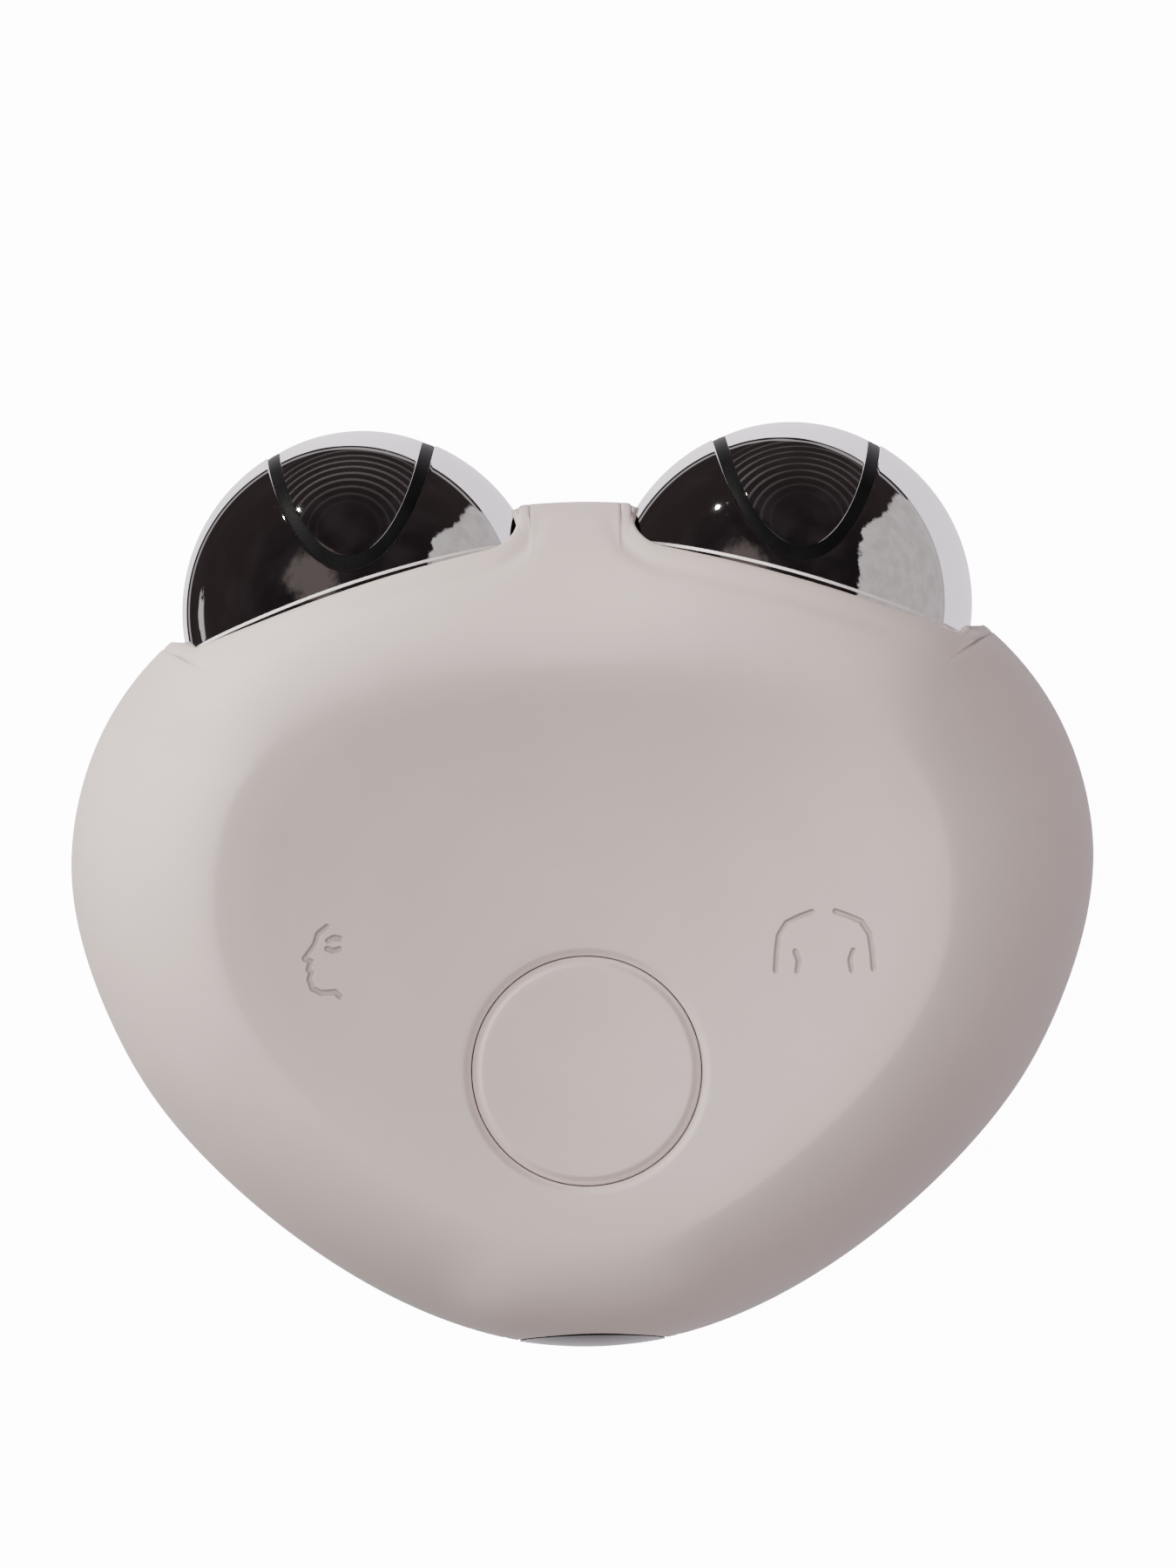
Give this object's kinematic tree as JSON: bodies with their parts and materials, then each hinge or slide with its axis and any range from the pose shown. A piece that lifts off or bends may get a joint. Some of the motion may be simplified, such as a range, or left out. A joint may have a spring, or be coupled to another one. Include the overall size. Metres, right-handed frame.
{
  "type": "facial toning device",
  "caption": "Palm-held facial toning device with a pebble housing, thumb dish, round press button and two chromed electrode balls with insulated tongues.",
  "frame": {"origin": "middle of the bounding box at the table that the device lies on, balls and palm side down", "axes": "+Z out of the thumb dish and button, +Y towards the two electrode balls, +X to the right seen from the button side"},
  "size_m": [0.0902, 0.0812, 0.0386],
  "materials": {
    "housing": "soft-touch matte",
    "button": "soft-touch matte",
    "seal": "matte",
    "black_plastic": "moulded",
    "circuit_board": "solder mask",
    "flex_film": "satin film",
    "ferrite": "sintered",
    "aluminium_can": "drawn",
    "clear_plastic": "clear moulded",
    "battery_wrap": "foil film",
    "foam": "open foam",
    "pale_plastic": "moulded",
    "lead_cover": "soft insulation",
    "gloss_black": "polished",
    "contact_metal": "gold flashed",
    "screw_steel": "zinc plated",
    "ball_chrome": "mirror",
    "insulator_black": "smooth"
  },
  "bodies": {
    "device": {"front_cover": "housing", "rear_cover": "housing", "seam_seal": "seal", "switch_body": "black_plastic", "switch_board": "circuit_board", "switch_flex": "flex_film", "main_board": "circuit_board", "controller_chip": "black_plastic", "power_chips": "black_plastic", "step_up_transformer": "ferrite", "boost_inductor": "ferrite", "filter_capacitors": "aluminium_can", "mode_leds": "clear_plastic", "left_light_guide": "clear_plastic", "right_light_guide": "clear_plastic", "battery_cell": "battery_wrap", "battery_pad": "foam", "battery_plug": "pale_plastic", "battery_leads": "lead_cover", "ball_frame": "pale_plastic", "charge_plate": "gloss_black", "charge_contacts": "contact_metal", "board_screws": "screw_steel", "ball_screws": "screw_steel", "cover_screws": "screw_steel", "screw_plugs": "seal", "right_ball_core": "pale_plastic", "left_ball_core": "pale_plastic", "right_electrode_shell": "ball_chrome", "left_electrode_shell": "ball_chrome", "right_electrode_tongue": "ball_chrome", "left_electrode_tongue": "ball_chrome", "right_insulator": "insulator_black", "left_insulator": "insulator_black", "right_electrode_leads": "lead_cover", "left_electrode_leads": "lead_cover"},
    "button": {"button_cap": "button"},
    "plunger": {"switch_plunger": "black_plastic"}
  },
  "joints": [
    {"name": "button_press", "type": "slide", "parent": "device", "child": "button", "axis": [0, 0, -1], "range_m": [0, 0.0005], "stiffness_N_per_m": 150, "springref_m": -0.003},
    {"name": "plunger_press", "type": "slide", "parent": "device", "child": "plunger", "axis": [0, 0, -1], "range_m": [0, 0.0005], "stiffness_N_per_m": 30, "springref_m": -0.003}
  ],
  "couplings": [
    {"joint": "plunger_press", "follows": "button_press", "ratio": 1}
  ]
}
